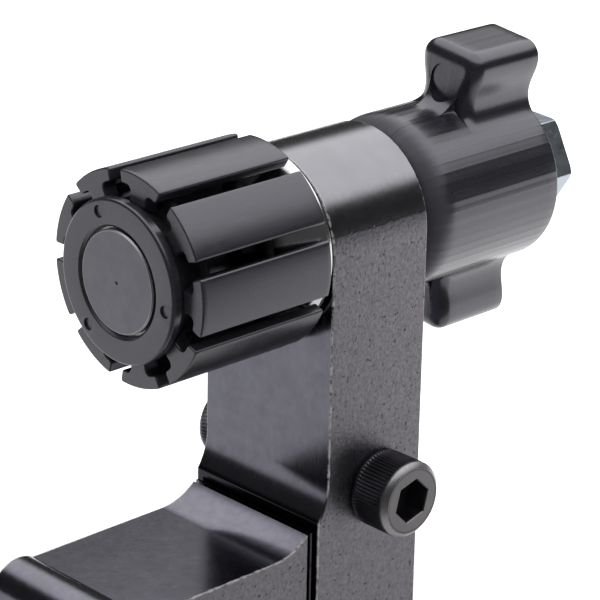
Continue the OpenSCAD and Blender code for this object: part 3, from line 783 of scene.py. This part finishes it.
# a cone takes the hexagon's corners off
bevelSlope = tan(radians(bolt["bevelAngle"]))
faceR = hexR - bolt["bevel"]
bevelStart = boltHigh[1] - (bolt["af"] - faceR) * bevelSlope
capLow, capHigh = washerHigh[1] - bolt["over"], boltHigh[1] + bolt["over"]
cap = lathe("cap", [[0, capLow], [bolt["af"], capLow], [bolt["af"], bevelStart],
                    [faceR - bolt["over"] / bevelSlope, capHigh], [0, capHigh]])
combine(boltPiece, cap, "INTERSECT")
shankEnd = washerHigh[1] + bolt["over"]
shank = filletLoop([[0, boltLow[1]], [bolt["radius"], boltLow[1]],
                    [bolt["radius"], shankEnd], [0, shankEnd]], [0, bolt["tipEdge"], 0, 0])
combine(boltPiece, lathe("shank", shank, turns=48), "UNION")
place(shadeFlatAndRound(boltPiece, bolt["shadeLimit"]), zinc, "knob", "zinc", "draw_bolt")
washerBore = bolt["radius"] + bolt["washerGap"]
ring = filletLoop([[washerBore, washerLow[1]], [washerHigh[0], washerLow[1]], [washerHigh[0], washerHigh[1]],
                   [washerBore, washerHigh[1]]], bolt["washerEdges"])
place(shadeFlatAndRound(lathe("washer", ring)), zinc, "knob", "zinc", "bolt_washer")


# Pivot screws: knurled socket heads

screwLow, screwHigh = span("right_pivot_screw")
screw = {"shank": 2.08, "tip": 0.3, "headH": 4.2, "ridges": 66, "knurl": 0.13, "pointsPerRidge": 6,
         "knurlRows": 6, "plainEnd": 0.42, "plainRim": 0.62, "runOut": 0.12, "shadeLimit": 35,
         "under": ((0, 0.25), (0.22, 0.03)),  # (up from the underside, in from the side) round the edge
         "crown": ((0.43, 0.02), (0.35, 0.06), (0.1, 0.33), (0, 0.47)),  # (down from the face, in) there
         "socketAf": 3.5, "socketDepth": 2.2, "socketEdge": (0.1, 0.08), "socketCone": 0.35,
         "socketTurn": 15.0}
headR = (screwHigh[2] - screwLow[2]) / 2
underHead = screwHigh[0] - screw["headH"]
socketR = screw["socketAf"] / 2


def screwRows():
    # (along the axis, radius, share of knurl, share of hexagon) from the shank's end to the socket's floor
    end, face, floor = screwLow[0], screwHigh[0], screwHigh[0] - screw["socketDepth"]
    start, stop = underHead + screw["plainEnd"], face - screw["plainRim"]
    edgeDown, edgeOut = screw["socketEdge"]
    below, rim = screw["under"][-1][1], screw["crown"][0][1]
    rows = [(end, 0, 0, 0), (end, screw["shank"] - screw["tip"], 0, 0),
            (end + screw["tip"], screw["shank"], 0, 0), (underHead, screw["shank"], 0, 0)]
    rows += [(underHead + up, headR - inside, 0, 0) for up, inside in screw["under"]]
    rows += [(start, headR - below, 0, 0)]
    knurled = np.linspace(start + screw["runOut"], stop - screw["runOut"], screw["knurlRows"])
    rows += [(x, headR, 1, 0) for x in knurled]
    rows += [(stop, headR - rim, 0, 0)]
    rows += [(face - down, headR - inside, 0, 0) for down, inside in screw["crown"]]
    rows += [(face, socketR + edgeOut, 0, 1), (face - edgeDown, socketR, 0, 1), (floor, socketR, 0, 1),
             (floor - screw["socketCone"], 0, 0, 0)]
    return np.array(rows, float)


def screwGrid(toward):
    # radius round the axis, cut by the ridges' wave or swollen to the hexagon's corners
    turn = np.linspace(0, 2 * pi, screw["ridges"] * screw["pointsPerRidge"], endpoint=False)
    distance, r, ridged, six = screwRows().T[:, :, None]
    hexagon = 1 / np.cos(turn % (pi / 3) - pi / 6)
    wave = screw["knurl"] * (0.5 - 0.5 * np.cos(turn * screw["ridges"]))
    r = r * (1 + six * (hexagon - 1)) - ridged * wave
    angle = turn + pi / 2 - radians(screw["socketTurn"])
    y, z = pivot[1] + r * np.cos(angle), pivot[2] + r * np.sin(angle)
    return np.stack([toward * distance + 0 * r, y, z], -1)


screwFinish = {"dark": ((0.08, 0.077, 0.092), (0.13, 0.125, 0.146)),
               "face": ((0.11, 0.104, 0.108), (0.172, 0.165, 0.17)),
               "faceFrom": 0.14, "faceTo": 0.02, "socketBand": 0.1,
               # rim, rimDown, rimIn, rimPatchy and patch: the painted highlight on the head's rounded rim
               "rim": (0.27, 0.262, 0.268), "rimDown": (0.68, 0.5), "rimIn": (0.55, 0.35),
               "rimPatchy": 0.4, "patch": (0.3, 0.55),
               "line": (0.06, 0.058, 0.062), "lineShare": 0.7, "lineIn": 0.6, "lineFrom": 0.1, "lineTo": 0.04,
               "rough": 0.4, "cloudRough": 0.2, "speckHigh": 0.004, "cloud": (1.2, 3.0), "speck": (6.0, 3.0)}


def screwLook(spot, x, y, z):
    out = root((y - pivot[1]) ** 2 + (z - pivot[2]) ** 2)
    cloud, speck = grains(spot, screwFinish, "cloud", "speck")
    endGap = screwHigh[0] - abs(x)
    onFace = rise(endGap, screwFinish["faceFrom"], screwFinish["faceTo"])
    onFace = onFace * rise(out, socketR - screwFinish["socketBand"], socketR)
    inner, outer = (headR - gap for gap in screwFinish["rimIn"])
    patchy = 1 - screwFinish["rimPatchy"] + screwFinish["rimPatchy"] * rise(speck, *screwFinish["patch"])
    # painted highlight: a brighter ring on the head's rounded rim, broken into patches
    rim = rise(endGap, *screwFinish["rimDown"]) * rise(out, inner, outer) * patchy
    lineGap = abs(out - (headR - screwFinish["lineIn"]))  # the line between the face and its chamfer
    line = rise(lineGap, screwFinish["lineFrom"], screwFinish["lineTo"]) * screwFinish["lineShare"]
    colour = tint(onFace, tint(cloud, *screwFinish["dark"]), tint(speck, *screwFinish["face"]))
    return {"colour": tint(line, tint(rim, colour, screwFinish["rim"]), screwFinish["line"]),
            "roughness": screwFinish["rough"] + (cloud - 0.5) * screwFinish["cloudRough"],
            "height": speck * screwFinish["speckHigh"]}


screwBlack = material("screw_black", screwLook, Metallic=1.0)
for sideName, toward in (("right", 1), ("left", -1)):
    piece = shadeFlatAndRound(surface(f"{sideName}_screw", screwGrid(toward)), screw["shadeLimit"])
    place(piece, screwBlack, "base", "screw_black", f"{sideName}_pivot_screw")


# CAD nodes that stay as they are, with their own finishes

rubberFinish = {"dark": (0.004, 0.004, 0.0045), "light": (0.009, 0.009, 0.0095), "gloss": 1.3, "rough": 0.62,
                "cloudRough": 0.2, "fineHigh": 0.004, "cloud": (1.5, 3.0), "fine": (9.0, 2.0)}


def rubberLook(spot, x, y, z):
    cloud, fine = grains(spot, rubberFinish, "cloud", "fine")
    return {"colour": tint(cloud, rubberFinish["dark"], rubberFinish["light"]),
            "roughness": rubberFinish["rough"] + (cloud - 0.5) * rubberFinish["cloudRough"],
            "height": fine * rubberFinish["fineHigh"]}


rubber = material("ring_rubber", rubberLook, IOR=rubberFinish["gloss"])
finishes = {"front_o_ring": rubber, "rear_o_ring": rubber, "guide_key": plugSteel, "lock_nut": zinc,
            "thrust_washer": zinc}
for node, finish in finishes.items():
    kept = frame["nodes"][node]
    kept.data.materials.clear()
    kept.data.materials.append(finish)
print("finishes given to", len(finishes), "CAD nodes")


# Camera at the photograph's viewing angle

camera = {"azimuth": 45.85, "elevation": 21.15, "roll": 1.18, "focal": 163.17, "sensor": 36.0, "near": 0.01,
          "place": (159.02, -150.59, 124.94)}
az, el, roll = (radians(camera[k]) for k in ("azimuth", "elevation", "roll"))
back = np.array([sin(az) * cos(el), -cos(az) * cos(el), sin(el)])
right = np.array([cos(az), sin(az), 0])
up = np.cross(back, right)
right, up = right * cos(roll) + up * sin(roll), up * cos(roll) - right * sin(roll)
lens = bpy.data.cameras.new("camera")
lens.lens, lens.sensor_width, lens.clip_start = camera["focal"], camera["sensor"], camera["near"]
eye = bpy.data.objects.new("camera", lens)
matrix = np.eye(4)
matrix[:3, :3] = np.stack([right, up, back], 1)
matrix[:3, 3] = np.array(camera["place"]) * mm
eye.matrix_world = Matrix(matrix.tolist())
scene.collection.objects.link(eye)
scene.camera = eye


# Pale floor, and a soft tent of light: bright above, dim round the horizon

studio = {"floor": 1200.0, "floorTop": -0.02, "floorUnder": -1.0, "paper": 0.82, "glow": 0.34,
          "backGlow": 0.55, "backSlant": 0.5, "backFrom": 25.0, "backTo": 55.0,
          "dark": 0.9, "darkFrom": 15.0, "darkTo": 55.0,
          "above": 2.1, "edgeFrom": 0.555, "edgeTo": 0.705, "tilt": 0.22, "sideTilt": 0.03,
          "dim": 0.06, "backLeft": 0.07, "leftFrom": 0.3, "leftTo": 1.1, "fillLow": 0.35, "fillHigh": 1.3}


def seenBy(start):
    # 1 for what the camera sees straight on, in a mirror or through glass, and 1 for straight on alone
    straight, mirrored, through = (start.node("ShaderNodeLightPath", {}, {}, f"Is {ray} Ray")
                                   for ray in ("Camera", "Glossy", "Transmission"))
    return highest(highest(straight, mirrored), through), straight


floorFinish = bpy.data.materials.new("floor")
floorFinish.use_nodes = True
tree = floorFinish.node_tree
start = Wire(tree, None)
seen, straight = seenBy(start)
spot = start.node("ShaderNodeTexCoord", {}, {}, 3)
floorX, floorY = (start.node("ShaderNodeSeparateXYZ", {}, {0: spot}, i) / mm for i in range(2))
nearer = floorX * sin(az) - floorY * cos(az)  # distance from the origin towards the camera, in mm
unlit = (seen - straight) * rise(nearer, studio["darkFrom"], studio["darkTo"]) * studio["dark"]
behind = rise(floorY - studio["backSlant"] * floorX, studio["backFrom"], studio["backTo"])  # behind the knob
glowing = seen * (studio["glow"] + behind * studio["backGlow"])
paper = start.node("ShaderNodeBsdfDiffuse", {}, {"Color": (*[studio["paper"]] * 3, 1)})
glow = start.node("ShaderNodeEmission", {}, {"Color": (1, 1, 1, 1), "Strength": glowing})
both = start.node("ShaderNodeAddShader", {}, {0: paper, 1: glow})
night = start.node("ShaderNodeEmission", {}, {"Strength": 0.0})
shown = start.node("ShaderNodeMixShader", {}, {0: unlit, 1: both, 2: night})  # dark on the camera's side
tree.links.new(shown.socket, tree.nodes["Material Output"].inputs["Surface"])
half = studio["floor"] / 2
square = [[-half, -half], [half, -half], [half, half], [-half, half]]
floor = prism("floor", square, "z", studio["floorUnder"], studio["floorTop"])
floor.data.materials.append(floorFinish)

world = bpy.data.worlds.new("tent")
scene.world = world
world.use_nodes = True
tree = world.node_tree
start = Wire(tree, None)
seen, straight = seenBy(start)
look = start.node("ShaderNodeTexCoord", {}, {}, 0)
lookX, lookY, lookZ = (start.node("ShaderNodeSeparateXYZ", {}, {0: look}, i) for i in range(3))
left = rise(lookY - lookX, studio["leftFrom"], studio["leftTo"])
walls = studio["dim"] + left * (studio["backLeft"] - studio["dim"])
overhead = lookZ + lookY * studio["tilt"] - lookX * studio["sideTilt"]  # the tent's edge is higher in front
tent = walls + rise(overhead, studio["edgeFrom"], studio["edgeTo"]) * (studio["above"] - walls)
fill = studio["fillLow"] + rise(lookZ, 0.0, 1.0) * (studio["fillHigh"] - studio["fillLow"])
strength = seen * (straight + (1 - straight) * tent) + (1 - seen) * fill
backdrop = tree.nodes["Background"]
tree.links.new(strength.socket, backdrop.inputs["Strength"])
backdrop.inputs["Color"].default_value = (1, 1, 1, 1)

scene.view_settings.view_transform = "Standard"
print("light and camera set")
